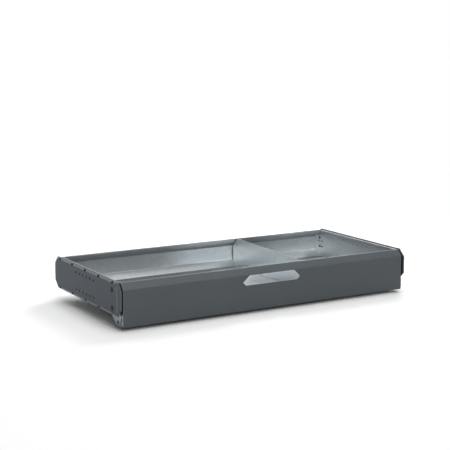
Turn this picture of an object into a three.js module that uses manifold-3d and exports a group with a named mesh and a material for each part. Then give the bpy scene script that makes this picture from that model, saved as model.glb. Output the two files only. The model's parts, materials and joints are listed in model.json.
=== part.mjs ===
// Drop-front shelf: a galvanised tray between two dark side plates, with a hinged front flap.
// Millimetres. X runs along the shelf, Y from front to back, Z up.
// The origin is the middle of the footprint, at the level of the flap's lower edge.

import * as THREE from 'three';
import { mergeVertices } from 'three/addons/utils/BufferGeometryUtils.js';
import Module from 'manifold-3d';

const wasm = await Module();
wasm.setup();

// Working values shared by every piece
const overrun = 5; // how far a cut runs past the material
const seat = 0.3; // gap between pieces that touch
const roundSteps = 20; // sides of a round piece
const holeSteps = 10; // sides of a small hole
const hexSides = 6; // sides of a nut or a key socket
const bendSteps = 3; // flats that make one sheet bend

// Side plates: moulded pans with eight-sided outlines
const shelfWidth = 968; // outer face to outer face
const plateDepth = 464;
const plateHeight = 95.5;
const plateLift = 29; // lower edge above the flap's lower edge
const plateCut = 22; // 45 degree cut at each corner of the outline
const plateWall = 2;
const panDepth = 8; // how far the rim stands in from the outer face
const rimBevelWidth = 6.5; // sloping edge, measured down the face
const rimBevelDepth = 4.5; // and measured in from the face
const ribThickness = 2; // upright ribs inside the pan, midway between the holes in its edges
const noseLength = 25; // where the face starts to turn towards the front
const noseDraft = 1.2;
const noseRound = 5.5;

// Rows of holes in the side plates
const rowHoleRadius = 2.3;
const rowHoleCount = 6;
const rowHolePitch = 25;
const rowSpacing = 49.6; // between the two rows
const rowFromTop = 22.7;
const rowFromFront = 175.2;
const edgeHoleRadius = 3;
const edgeHoleCount = 5;
const edgeHolePitch = 92.5;
const edgeHoleFromFront = 50.7;
const edgeHoleInset = 2.6; // centre below the top edge or above the lower one

// Tray: one folded sheet with sloping corners along the back
const sheet = 1.2;
const bendRadius = 2;
const flapGap = 6; // tray's front edge behind the flap's face
const trayLipDrop = 9;
const trayEndReach = 2.6; // the tray runs this far past the end wall's inner face
const backInset = 3; // back wall's inner face in from the side plates' rear edge
const lowerSlope = 20; // run and rise of the slope between floor and back wall
const upperSlope = 25.1; // run and rise of the slope that leans in at the top
const trayTopDrop = 1.7; // tray's top edge below the side plates' top
const hemWidth = 8;

// End walls: galvanised sheets that close the tray
const endWallInset = 15.6; // inner face in from the side plate's outer face
const endWallTopDrop = 2;
const endWallFrontGap = 4; // front edge behind the flap's face
const endWallTopGap = 24; // top corner behind the flap's face
const endWallTopStep = 10.5;
const endFlangeReach = 2;
const endFlangeRearGap = 2.5;

// Flap: one folded sheet with a sloping top edge and a return under the hinge
const flapSheet = 1.5;
const flapSetback = 3; // face behind the side plates' front
const flapEndGap = 2; // between the flap's end and the side plate's rim
const flapHeight = 123.1;
const flapSlope = 17.6;
const flapLip = 4;
const flapHemDrop = 10;
const flapReturn = 36;
const flapEndReturn = 13.5;
const flapEndRound = 2.5;

// Hand-hold in the flap
const holdTopHalf = 76;
const holdTipHalf = 97.5;
const holdBottomHalf = 87.5;
const holdFromTop = 19.3;
const holdTipDrop = 19.7;
const holdHeight = 29.3;
const holdRound = 4.5;

// Flap hinge
const pivotBack = 22; // behind the flap's face
const pivotLift = 14; // above the flap's lower edge
const pinRadius = 3;
const pinPlay = 0.3;
const pinHeadRadius = 5.2;
const pinHeadHeight = 1.5;
const armSheet = 1.4;
const armFrontGap = 2;
const armWidth = 12;
const armHeight = 30;
const armLift = 6;
const armEyeRadius = 11;
const washerThickness = 1.2;
const washerRadius = 7;
const armRivetRadius = 1.8;
const armRivetHeadRadius = 3.2;
const armRivetHeadHeight = 0.8;
const armRivetInset = 5.5;
const armRivetUpperInset = 6;
const armRivetLowerInset = 6.5;

// Hinge bracket: a galvanised plate that hangs out of the side plate
const bracketSheet = 2;
const bracketFront = 8; // behind the flap's face
const bracketNoseRise = 8;
const bracketNoseRun = 7;
const bracketBottomDrop = 7.5; // below the pivot
const bracketBottomRun = 21;
const bracketRear = 63;
const bracketTailRise = 24;
const bracketShoulder = 35;
const bracketShoulderDrop = 62;
const bracketNeckLift = 30;
const bracketTopDrop = 16.5; // below the side plate's top
const slotMargin = 1.5; // room round the bracket where it leaves the side plate

// Bolts that hold the bracket between side plate and end wall
const boltBack = 48.9; // behind the flap's face
const boltUpperDrop = 25.6; // below the side plate's top
const boltSpacing = 50.1;
const boltRadius = 2.5;
const boltHeadRadius = 4.3;
const boltHeadHeight = 2.6;
const boltHeadSink = 0.2;
const boltSocketRadius = 1.8;
const boltSocketDepth = 1.5;
const boltBossRadius = 7;
const boltPlay = 0.4;
const sleeveRadius = 5;
const nutRadius = 4.8;
const nutHeight = 2.6;
const boltTail = 0.6;

// Screws that hold the rear of the side plate
const screwFromRear = 30;
const screwUpperDrop = 29.5;
const screwSpacing = 29;
const screwRadius = 2.2;
const screwHeadRadius = 4.2;
const screwHeadHeight = 1.8;
const screwBossRadius = 6;
const screwReach = 8;
const screwPlay = 0.3;
const slotLength = 8;
const slotWidth = 3;
const slotUpperDrop = 40.8;
const slotLowerDrop = 59.3;
const slotRearFromRear = 22.8;
const slotFrontFromRear = 42.5;

// Snap stud and rubber buffer that hold the flap shut and quiet
const studBack = 9;
const studDrop = 34.6; // below the flap's top
const studRadius = 4;
const studHeight = 2.2;
const studCrownShare = 0.55;
const studSteps = 4;
const studDimpleRadius = 3;
const bufferHeight = 16;
const bufferDrop = 5.3; // its top below the snap stud
const bufferWall = 1.5;
const bufferGrip = 6;

// Divider
const dividerSheet = 1;
const dividerPlace = 139; // its middle, right of the shelf's centre
const dividerFrontGap = 26;
const dividerRearDrop = 1.5; // top edge below the side plates' top, at the back
const dividerFrontDrop = 9;
const dividerFoot = 12;
const dividerScrewCount = 3;
const dividerScrewInset = 63; // outer screws in from the ends of the foot
const dividerScrewRadius = 2;
const dividerScrewHeadRadius = 4;
const dividerScrewHeadHeight = 2;
const dividerScrewReach = 6;
const dividerScrewPlay = 0.3;

// Places that follow from the sizes above
const outerX = shelfWidth / 2;
const rimX = outerX - panDepth;
const frontY = -plateDepth / 2;
const rearY = plateDepth / 2;
const plateTop = plateLift + plateHeight;
const faceY = frontY + flapSetback;
const flapEndX = rimX - flapEndGap;
const flapInnerX = flapEndX - flapSheet;
const endWallX = outerX - endWallInset;
const endWallOuterX = endWallX + sheet;
const trayEndX = endWallX + trayEndReach;
const floorTop = plateLift + sheet;
const trayFrontY = faceY + flapGap;
const backY = rearY - backInset;
const trayTop = plateTop - trayTopDrop;
const slopeTop = trayTop - 2 * sheet * Math.SQRT1_2; // where the inner face of the upper slope ends
const slopeFoot = slopeTop - upperSlope;
const pivotY = faceY + pivotBack;
const armX = flapEndX + seat;
const armOuterX = armX + armSheet;
const bracketX = armOuterX + washerThickness + 2 * seat;
const bracketOuterX = bracketX + bracketSheet;
const boltY = faceY + boltBack;
const boltHeights = [plateTop - boltUpperDrop, plateTop - boltUpperDrop - boltSpacing];
const screwY = rearY - screwFromRear;
const screwHeights = [plateTop - screwUpperDrop, plateTop - screwUpperDrop - screwSpacing];
const studZ = flapHeight - studDrop;
const dividerFrontY = faceY + dividerFrontGap;
const dividerFootRearY = backY - seat - lowerSlope - sheet;
const dividerScrewX = dividerPlace + dividerSheet / 2 + dividerFoot / 2;

// Materials
const paint = new THREE.MeshStandardMaterial({ color: 0x53585c, roughness: 0.5, metalness: 0 });
const polymer = new THREE.MeshStandardMaterial({ color: 0x52575b, roughness: 0.55, metalness: 0 });
const zinc = new THREE.MeshStandardMaterial({ color: 0xb4b9bd, roughness: 0.35, metalness: 1 });
const blackSteel = new THREE.MeshStandardMaterial({ color: 0x2a2d30, roughness: 0.4, metalness: 1 });
const rubber = new THREE.MeshStandardMaterial({ color: 0x1d1f21, roughness: 0.8, metalness: 0 });
const nylon = new THREE.MeshStandardMaterial({ color: 0x17191b, roughness: 0.45, metalness: 0 });

// Turns a closed geometry into a solid that can be joined and cut
function solid(geometry) {
  const bare = geometry.clone();
  bare.deleteAttribute('normal');
  bare.deleteAttribute('uv');
  const merged = mergeVertices(bare);
  const vertProperties = new Float32Array(merged.attributes.position.array);
  const triVerts = new Uint32Array(merged.index.array);
  return new wasm.Manifold(new wasm.Mesh({ numProp: 3, vertProperties, triVerts }));
}

// Turns a solid back into a geometry for a mesh
function geometryOf(body) {
  const mesh = body.getMesh();
  const geometry = new THREE.BufferGeometry();
  geometry.setAttribute('position', new THREE.BufferAttribute(new Float32Array(mesh.vertProperties), 3));
  geometry.setIndex(new THREE.BufferAttribute(new Uint32Array(mesh.triVerts), 1));
  geometry.computeVertexNormals();
  return geometry;
}

function union(bodies) {
  return bodies.reduce((sum, body) => sum.add(body));
}

function cut(body, tools) {
  return tools.reduce((rest, tool) => rest.subtract(tool), body);
}

// A prism along Z between two heights, from an outline of [x, y] points
function prismZ(points, from, to) {
  const shape = new THREE.Shape(points.map(([x, y]) => new THREE.Vector2(x, y)));
  const options = { depth: Math.abs(to - from), bevelEnabled: false };
  const geometry = new THREE.ExtrudeGeometry(shape, options);
  return geometry.translate(0, 0, Math.min(from, to));
}

// A prism along X, from an outline of [y, z] points
function prismX(points, from, to) {
  const geometry = prismZ(points, from, to);
  const turn = new THREE.Matrix4().makeBasis(
    new THREE.Vector3(0, 1, 0),
    new THREE.Vector3(0, 0, 1),
    new THREE.Vector3(1, 0, 0),
  );
  return solid(geometry.applyMatrix4(turn));
}

// A prism along Y, from an outline of [z, x] points
function prismY(points, from, to) {
  const geometry = prismZ(points, from, to);
  const turn = new THREE.Matrix4().makeBasis(
    new THREE.Vector3(0, 0, 1),
    new THREE.Vector3(1, 0, 0),
    new THREE.Vector3(0, 1, 0),
  );
  return solid(geometry.applyMatrix4(turn));
}

function box(x, y, z) {
  const size = [x, y, z].map(([from, to]) => Math.abs(to - from));
  const middle = [x, y, z].map(([from, to]) => (from + to) / 2);
  return solid(new THREE.BoxGeometry(...size).translate(...middle));
}

// A round bar along X
function rodX(radius, from, to, y, z, steps = roundSteps) {
  const geometry = new THREE.CylinderGeometry(radius, radius, Math.abs(to - from), steps);
  return solid(geometry.rotateZ(Math.PI / 2).translate((from + to) / 2, y, z));
}

// A round bar along Z
function rodZ(radius, from, to, x, y, steps = roundSteps) {
  const geometry = new THREE.CylinderGeometry(radius, radius, Math.abs(to - from), steps);
  return solid(geometry.rotateX(Math.PI / 2).translate(x, y, (from + to) / 2));
}

// Rounds the inner corners of an open path, or every corner of a closed one
function rounded(path, radius, closed = false) {
  const last = path.length - 1;
  const result = [];
  path.forEach(([x, y], index) => {
    if (!closed && (index === 0 || index === last)) {
      result.push([x, y]);
      return;
    }
    const corner = new THREE.Vector2(x, y);
    const before = new THREE.Vector2(...path[(index + last) % path.length]).sub(corner);
    const after = new THREE.Vector2(...path[(index + 1) % path.length]).sub(corner);
    const half = before.angleTo(after) / 2;
    const back = radius / Math.tan(half);
    const start = corner.clone().addScaledVector(before.normalize(), back);
    const end = corner.clone().addScaledVector(after.normalize(), back);
    const curve = new THREE.QuadraticBezierCurve(start, corner, end);
    curve.getPoints(bendSteps).forEach((point) => result.push([point.x, point.y]));
  });
  return result;
}

// The outline of a bent sheet: its path and the same path moved left by the sheet's thickness
function sheetOutline(path, thickness) {
  const sides = path.slice(1).map(([x, y], index) => {
    const [fromX, fromY] = path[index];
    const length = Math.hypot(x - fromX, y - fromY);
    return [-(y - fromY) / length, (x - fromX) / length];
  });
  const moved = path.map(([x, y], index) => {
    const [ax, ay] = sides[Math.max(index - 1, 0)];
    const [bx, by] = sides[Math.min(index, sides.length - 1)];
    const reach = thickness / (1 + ax * bx + ay * by);
    return [x + (ax + bx) * reach, y + (ay + by) * reach];
  });
  return path.concat(moved.reverse());
}

// An eight-sided outline of [y, z] points, moved inwards by an inset
function plateOutline(inset) {
  const front = frontY + inset;
  const rear = rearY - inset;
  const bottom = plateLift + inset;
  const top = plateTop - inset;
  const corner = plateCut - inset * (2 - Math.SQRT2);
  return [
    [front + corner, bottom], [rear - corner, bottom], [rear, bottom + corner], [rear, top - corner],
    [rear - corner, top], [front + corner, top], [front, top - corner], [front, bottom + corner],
  ];
}

// The side plate's outer form, or the hollow inside it when an inset is given
function plateBody(side, inset) {
  const outer = outerX - inset;
  const open = inset ? rimX - overrun : rimX;
  const front = frontY + inset;
  const rear = rearY - inset;
  const bottom = plateLift + inset;
  const top = plateTop - inset;
  const plan = [
    [open, front], [outer - noseRound, front], [outer - noseDraft, front + noseRound],
    [outer, frontY + noseLength], [outer, rear - rimBevelWidth], [outer - rimBevelDepth, rear], [open, rear],
  ];
  const section = [
    [bottom, open], [bottom, outer - rimBevelDepth], [bottom + rimBevelWidth, outer],
    [top - rimBevelWidth, outer], [top, outer - rimBevelDepth], [top, open],
  ];
  const mirroredPlan = plan.map(([x, y]) => [side * x, y]);
  const mirroredSection = section.map(([z, x]) => [z, side * x]);
  return prismX(plateOutline(inset), side * open, side * outer)
    .intersect(solid(prismZ(mirroredPlan, bottom, top)))
    .intersect(prismY(mirroredSection, front, rear));
}

// Centres of the two rows of small holes, as [y, z]
function rowHoles() {
  const rows = [plateTop - rowFromTop, plateTop - rowFromTop - rowSpacing];
  const first = frontY + rowFromFront;
  const places = Array.from({ length: rowHoleCount }, (_, index) => first + index * rowHolePitch);
  return rows.flatMap((z) => places.map((y) => [y, z]));
}

// Centres of the holes in the sloping edges, as [y, z]
function edgeHoles() {
  const rows = [plateTop - edgeHoleInset, plateLift + edgeHoleInset];
  const first = frontY + edgeHoleFromFront;
  const places = Array.from({ length: edgeHoleCount }, (_, index) => first + index * edgeHolePitch);
  return rows.flatMap((z) => places.map((y) => [y, z]));
}

// The middles of the upright ribs, along Y
function ribPlaces() {
  const first = frontY + edgeHoleFromFront + edgeHolePitch / 2;
  return Array.from({ length: edgeHoleCount - 1 }, (_, index) => first + index * edgeHolePitch);
}

function sidePlate(side) {
  const floorX = outerX - plateWall;
  const bossEnd = bracketOuterX + seat;
  const headSeat = outerX - boltHeadSink - boltHeadHeight;
  const screwBossEnd = endWallOuterX + seat;
  const bosses = boltHeights
    .map((z) => rodX(boltBossRadius, side * bossEnd, side * floorX, boltY, z))
    .concat(screwHeights.map((z) => rodX(screwBossRadius, side * screwBossEnd, side * floorX, screwY, z)));
  const through = [side * (rimX - overrun), side * (outerX + overrun)];
  const holes = rowHoles().map(([y, z]) => rodX(rowHoleRadius, ...through, y, z, holeSteps));
  const notches = edgeHoles().map(([y, z]) => rodX(edgeHoleRadius, ...through, y, z, holeSteps));
  const boltHoles = boltHeights.flatMap((z) => [
    rodX(boltRadius + boltPlay, ...through, boltY, z),
    rodX(boltHeadRadius + boltPlay, side * (headSeat - seat), side * (outerX + overrun), boltY, z),
  ]);
  const pilotEnd = screwBossEnd + screwReach;
  const pilots = screwHeights.map((z) => (
    rodX(screwRadius + screwPlay, side * (screwBossEnd - overrun), side * pilotEnd, screwY, z)));
  const slot = box(
    [side * (rimX - overrun), side * (bracketOuterX + slotMargin)],
    [faceY + bracketFront - slotMargin, faceY + bracketRear + slotMargin],
    [plateLift - overrun, plateLift + plateCut - bracketFront],
  );
  const outer = plateBody(side, 0);
  const pan = outer.subtract(plateBody(side, plateWall));
  const ribs = ribPlaces().map((y) => box(
    [side * rimX, side * outerX],
    [y - ribThickness / 2, y + ribThickness / 2],
    [plateLift, plateTop],
  ).intersect(outer));
  return cut(union([pan, ...bosses, ...ribs]), [slot, ...holes, ...notches, ...boltHoles, ...pilots]);
}

// The tray's inner face as [y, z] points, from the front lip to the top of the back
function trayPath() {
  return [
    [trayFrontY, floorTop - trayLipDrop],
    [trayFrontY, floorTop],
    [backY - lowerSlope, floorTop],
    [backY, floorTop + lowerSlope],
    [backY, slopeFoot],
    [backY - upperSlope, slopeTop],
  ];
}

function tray() {
  const path = rounded(trayPath(), bendRadius).reverse();
  const span = [-trayEndX, trayEndX];
  const pan = prismX(sheetOutline(path, sheet), ...span);
  const hemRun = hemWidth * Math.SQRT1_2;
  const hemPath = [[backY - upperSlope, slopeTop], [backY - upperSlope + hemRun, slopeTop - hemRun]];
  const hem = prismX(sheetOutline(hemPath, 2 * sheet), ...span);
  const dividerHoles = dividerScrewPlaces().map((y) => (
    rodZ(dividerScrewRadius + dividerScrewPlay, plateLift - overrun, floorTop + overrun, dividerScrewX, y)));
  return cut(pan.add(hem), dividerHoles);
}

// The end wall's outline as [y, z] points, just inside the tray
function endWallOutline() {
  const bottom = floorTop + seat;
  const rear = backY - seat;
  const top = plateTop - endWallTopDrop;
  const lowerRun = lowerSlope - seat * (2 - Math.SQRT2);
  const leanSum = backY + slopeFoot - seat * Math.SQRT2;
  const frontBottom = faceY + endWallFrontGap;
  const frontTop = faceY + endWallTopGap;
  const stepRise = endWallTopGap - endWallFrontGap;
  return [
    [frontBottom, bottom], [rear - lowerRun, bottom], [rear, bottom + lowerRun], [rear, leanSum - rear],
    [leanSum - top, top], [frontTop, top], [frontTop, top - endWallTopStep],
    [frontBottom, top - endWallTopStep - stepRise],
  ];
}

function endWall(side) {
  const faces = [side * endWallX, side * endWallOuterX];
  const top = plateTop - endWallTopDrop;
  const flangeRear = backY - upperSlope - endFlangeRearGap;
  const flange = box(
    [side * endWallX, side * (endWallOuterX + endFlangeReach)],
    [faceY + endWallTopGap, flangeRear],
    [top - sheet, top],
  );
  const through = [side * (endWallX - overrun), side * (endWallOuterX + overrun)];
  const rows = rowHoles().map(([y, z]) => rodX(rowHoleRadius, ...through, y, z, holeSteps));
  const bolts = boltHeights.map((z) => rodX(boltRadius + boltPlay, ...through, boltY, z));
  const screws = screwHeights.map((z) => rodX(screwRadius + screwPlay, ...through, screwY, z));
  const slotPlaces = [
    [rearY - slotRearFromRear, plateTop - slotUpperDrop],
    [rearY - slotFrontFromRear, plateTop - slotUpperDrop],
    [rearY - slotFrontFromRear, plateTop - slotLowerDrop],
  ];
  const slots = slotPlaces.map(([y, z]) => (
    box(through, [y - slotLength / 2, y + slotLength / 2], [z - slotWidth / 2, z + slotWidth / 2])));
  const sheetBody = prismX(endWallOutline(), ...faces);
  return cut(sheetBody.add(flange), [...rows, ...bolts, ...screws, ...slots]);
}

// The flap's outer face as [y, z] points, from the hem at the top to the end of the lower return
function flapPath() {
  const lipBack = faceY + flapSlope + flapLip;
  return [
    [lipBack, flapHeight - flapHemDrop],
    [lipBack, flapHeight],
    [faceY + flapSlope, flapHeight],
    [faceY, flapHeight - flapSlope],
    [faceY, 0],
    [faceY + flapReturn, 0],
  ];
}

// The folded end of the flap, with an eye for the hinge pin
function flapEnd(side) {
  const inner = faceY + flapEndReturn;
  const lipBack = faceY + flapSlope + flapLip;
  const outline = [
    [faceY, 0], [faceY + flapReturn, 0], [faceY + flapReturn, pivotLift],
    [pivotY + armEyeRadius / 2, pivotLift + armEyeRadius], [inner, armLift + armHeight],
    [inner, flapHeight - flapSlope - flapEndReturn / 2], [lipBack, flapHeight - flapHemDrop],
    [lipBack, flapHeight], [faceY + flapSlope, flapHeight], [faceY, flapHeight - flapSlope],
  ];
  return prismX(outline, side * flapInnerX, side * flapEndX);
}

function handHold() {
  const top = flapHeight - holdFromTop;
  const outline = [
    [top - holdHeight, -holdBottomHalf], [top - holdTipDrop, -holdTipHalf], [top, -holdTopHalf],
    [top, holdTopHalf], [top - holdTipDrop, holdTipHalf], [top - holdHeight, holdBottomHalf],
  ];
  return prismY(rounded(outline, holdRound, true), faceY - overrun, faceY + flapSheet + overrun);
}

// A block with rounded front corners, which gives the flap's ends their bends
function flapLimit() {
  const rear = faceY + flapReturn + overrun;
  const path = [[flapEndX, rear], [flapEndX, faceY], [-flapEndX, faceY], [-flapEndX, rear]];
  return solid(prismZ(rounded(path, flapEndRound), -overrun, flapHeight + overrun));
}

function armRivetPlaces() {
  const y = faceY + armFrontGap + armRivetInset;
  return [[y, armLift + armHeight - armRivetUpperInset], [y, armLift + armRivetLowerInset]];
}

function flap() {
  const skin = prismX(sheetOutline(rounded(flapPath(), bendRadius), flapSheet), -flapEndX, flapEndX);
  const ends = [-1, 1].map(flapEnd);
  const through = [-flapEndX - overrun, flapEndX + overrun];
  const pivot = rodX(pinRadius + pinPlay, ...through, pivotY, pivotLift);
  const rivets = armRivetPlaces().map(([y, z]) => (
    rodX(armRivetRadius + pinPlay, ...through, y, z, holeSteps)));
  const dimple = rodX(studDimpleRadius, ...through, faceY + studBack, studZ, holeSteps);
  return cut(union([skin, ...ends]).intersect(flapLimit()), [handHold(), pivot, dimple, ...rivets]);
}

function hingeArm(side) {
  const faces = [side * armX, side * armOuterX];
  const front = faceY + armFrontGap;
  const stem = box(faces, [front, front + armWidth], [armLift, armLift + armHeight]);
  const eye = rodX(armEyeRadius, ...faces, pivotY, pivotLift);
  const foot = box(faces, [front, pivotY], [armLift, pivotLift]);
  const through = [side * (armX - overrun), side * (armOuterX + overrun)];
  const pivot = rodX(pinRadius + pinPlay, ...through, pivotY, pivotLift);
  const rivets = armRivetPlaces().map(([y, z]) => (
    rodX(armRivetRadius + pinPlay, ...through, y, z, holeSteps)));
  return cut(union([stem, eye, foot]), [pivot, ...rivets]);
}

function armRivet(side, index) {
  const [y, z] = armRivetPlaces()[index];
  const inner = flapInnerX - seat;
  const outer = armOuterX + seat / 2;
  return union([
    rodX(armRivetRadius, side * inner, side * outer, y, z, holeSteps),
    rodX(armRivetHeadRadius, side * (inner - armRivetHeadHeight), side * inner, y, z, holeSteps),
    rodX(armRivetHeadRadius, side * outer, side * (outer + armRivetHeadHeight), y, z, holeSteps),
  ]);
}

function hingeBracket(side) {
  const bottom = pivotLift - bracketBottomDrop;
  const front = faceY + bracketFront;
  const rear = faceY + bracketRear;
  const top = plateTop - bracketTopDrop;
  const bottomRear = front + bracketNoseRun + bracketBottomRun;
  const outline = [
    [front, bottom + bracketNoseRise], [front + bracketNoseRun, bottom], [bottomRear, bottom],
    [rear, bottom + bracketTailRise], [rear, top], [faceY + bracketShoulder, top],
    [faceY + bracketShoulder, top + bracketNeckLift - bracketShoulderDrop], [front, plateLift + seat],
  ];
  const through = [side * (bracketX - overrun), side * (bracketOuterX + overrun)];
  const pivot = rodX(pinRadius + seat / 2, ...through, pivotY, pivotLift);
  const bolts = boltHeights.map((z) => rodX(boltRadius + boltPlay, ...through, boltY, z));
  return cut(prismX(outline, side * bracketX, side * bracketOuterX), [pivot, ...bolts]);
}

function pivotPin(side) {
  const inner = flapInnerX - seat;
  const outer = bracketOuterX + seat;
  return union([
    rodX(pinRadius, side * inner, side * outer, pivotY, pivotLift),
    rodX(pinHeadRadius, side * (inner - pinHeadHeight), side * inner, pivotY, pivotLift),
    rodX(pinHeadRadius, side * outer, side * (outer + pinHeadHeight), pivotY, pivotLift),
  ]);
}

function pivotWasher(side) {
  const from = side * (armOuterX + seat);
  const to = side * (bracketX - seat);
  const hole = rodX(pinRadius + seat / 2, side * rimX - overrun, side * rimX + overrun, pivotY, pivotLift);
  return rodX(washerRadius, from, to, pivotY, pivotLift).subtract(hole);
}

function bracketBolt(side, index) {
  const z = boltHeights[index];
  const headOuter = outerX - boltHeadSink;
  const headInner = headOuter - boltHeadHeight;
  const tail = endWallX - seat - nutHeight - boltTail;
  const shank = rodX(boltRadius, side * tail, side * headInner, boltY, z);
  const head = rodX(boltHeadRadius, side * headInner, side * headOuter, boltY, z);
  const socketFloor = side * (headOuter - boltSocketDepth);
  const socket = rodX(boltSocketRadius, socketFloor, side * (headOuter + overrun), boltY, z, hexSides);
  return shank.add(head).subtract(socket);
}

function boltSleeve(side, index) {
  const z = boltHeights[index];
  const faces = [side * (endWallOuterX + seat), side * (bracketX - seat)];
  const through = [side * (endWallOuterX - overrun), side * (bracketX + overrun)];
  const bore = rodX(boltRadius + boltPlay, ...through, boltY, z);
  return rodX(sleeveRadius, ...faces, boltY, z).subtract(bore);
}

function boltNut(side, index) {
  const z = boltHeights[index];
  const inner = endWallX - seat;
  const through = [side * (inner - nutHeight - overrun), side * (inner + overrun)];
  const bore = rodX(boltRadius + seat / 2, ...through, boltY, z);
  return rodX(nutRadius, side * (inner - nutHeight), side * inner, boltY, z, hexSides).subtract(bore);
}

function plateScrew(side, index) {
  const z = screwHeights[index];
  const headOuter = endWallX - seat;
  const tip = endWallOuterX + screwReach;
  return union([
    rodX(screwHeadRadius, side * (headOuter - screwHeadHeight), side * headOuter, screwY, z),
    rodX(screwRadius, side * headOuter, side * tip, screwY, z),
  ]);
}

// A low riveted dome that the flap's end snaps over
function snapStud(side) {
  const base = endWallOuterX + seat;
  const profile = [new THREE.Vector2(0, 0), new THREE.Vector2(studRadius, 0)];
  for (let step = 0; step <= studSteps; step += 1) {
    const angle = (step / studSteps) * (Math.PI / 2);
    const radius = studRadius * (studCrownShare + (1 - studCrownShare) * Math.cos(angle));
    profile.push(new THREE.Vector2(radius, studHeight * (1 + Math.sin(angle)) / 2));
  }
  profile.push(new THREE.Vector2(0, studHeight));
  const dome = new THREE.LatheGeometry(profile, holeSteps);
  dome.rotateZ(-side * Math.PI / 2).translate(side * base, faceY + studBack, studZ);
  return solid(dome);
}

// A rubber clip on the end wall's front edge, which the closed flap rests against
function flapBuffer(side) {
  const bottom = studZ - studRadius - bufferDrop - bufferHeight;
  const edge = faceY + endWallFrontGap;
  const clip = box(
    [side * (endWallX - seat - bufferWall), side * (endWallOuterX + seat + bufferWall)],
    [faceY + flapSheet + seat, edge + bufferGrip],
    [bottom, bottom + bufferHeight],
  );
  const groove = box(
    [side * (endWallX - seat), side * (endWallOuterX + seat)],
    [edge - seat, edge + bufferGrip + overrun],
    [bottom - overrun, bottom + bufferHeight + overrun],
  );
  return clip.subtract(groove);
}

function dividerScrewPlaces() {
  const first = dividerFrontY + dividerScrewInset;
  const last = dividerFootRearY - dividerScrewInset;
  const pitch = (last - first) / (dividerScrewCount - 1);
  return Array.from({ length: dividerScrewCount }, (_, index) => first + index * pitch);
}

function divider() {
  const bottom = floorTop + seat;
  const rear = backY - seat;
  const lowerRun = lowerSlope - seat * (2 - Math.SQRT2);
  const leanSum = backY + slopeFoot - seat * Math.SQRT2;
  const rearTop = plateTop - dividerRearDrop;
  const outline = [
    [dividerFrontY, bottom], [rear - lowerRun, bottom], [rear, bottom + lowerRun], [rear, leanSum - rear],
    [leanSum - rearTop, rearTop], [dividerFrontY, plateTop - dividerFrontDrop],
  ];
  const left = dividerPlace - dividerSheet / 2;
  const wall = prismX(outline, left, left + dividerSheet);
  const foot = box(
    [left, left + dividerSheet + dividerFoot],
    [dividerFrontY, dividerFootRearY],
    [bottom, bottom + dividerSheet],
  );
  const holes = dividerScrewPlaces().map((y) => (
    rodZ(dividerScrewRadius + dividerScrewPlay, bottom - overrun, bottom + overrun, dividerScrewX, y)));
  return cut(wall.add(foot), holes);
}

function dividerScrew(index) {
  const y = dividerScrewPlaces()[index];
  const headBottom = floorTop + dividerSheet + 2 * seat;
  const headTop = headBottom + dividerScrewHeadHeight;
  return union([
    rodZ(dividerScrewHeadRadius, headBottom, headTop, dividerScrewX, y),
    rodZ(dividerScrewRadius, headBottom - dividerScrewReach, headBottom, dividerScrewX, y, holeSteps),
  ]);
}

// The assembly
const group = new THREE.Group();

function addPiece(name, body, material) {
  const mesh = new THREE.Mesh(geometryOf(body), material.clone());
  mesh.name = name;
  group.add(mesh);
}

addPiece('tray', tray(), zinc);
addPiece('flap', flap(), paint);
addPiece('divider', divider(), zinc);
for (let index = 0; index < dividerScrewCount; index += 1) {
  addPiece(`divider_screw_${index + 1}`, dividerScrew(index), zinc);
}
for (const [end, side] of [['left', -1], ['right', 1]]) {
  addPiece(`side_plate_${end}`, sidePlate(side), polymer);
  addPiece(`end_wall_${end}`, endWall(side), zinc);
  addPiece(`hinge_bracket_${end}`, hingeBracket(side), zinc);
  addPiece(`hinge_arm_${end}`, hingeArm(side), zinc);
  addPiece(`pivot_pin_${end}`, pivotPin(side), zinc);
  addPiece(`pivot_washer_${end}`, pivotWasher(side), nylon);
  addPiece(`snap_stud_${end}`, snapStud(side), zinc);
  addPiece(`flap_buffer_${end}`, flapBuffer(side), rubber);
  ['upper', 'lower'].forEach((level, index) => {
    addPiece(`bracket_bolt_${end}_${level}`, bracketBolt(side, index), blackSteel);
    addPiece(`bolt_sleeve_${end}_${level}`, boltSleeve(side, index), zinc);
    addPiece(`bolt_nut_${end}_${level}`, boltNut(side, index), zinc);
    addPiece(`plate_screw_${end}_${level}`, plateScrew(side, index), blackSteel);
    addPiece(`arm_rivet_${end}_${level}`, armRivet(side, index), zinc);
  });
}

export default group;
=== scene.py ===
"""Drop-front shelf: its pieces as finished sheet metal and mouldings, its studio and its camera."""

import json
import math

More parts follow.
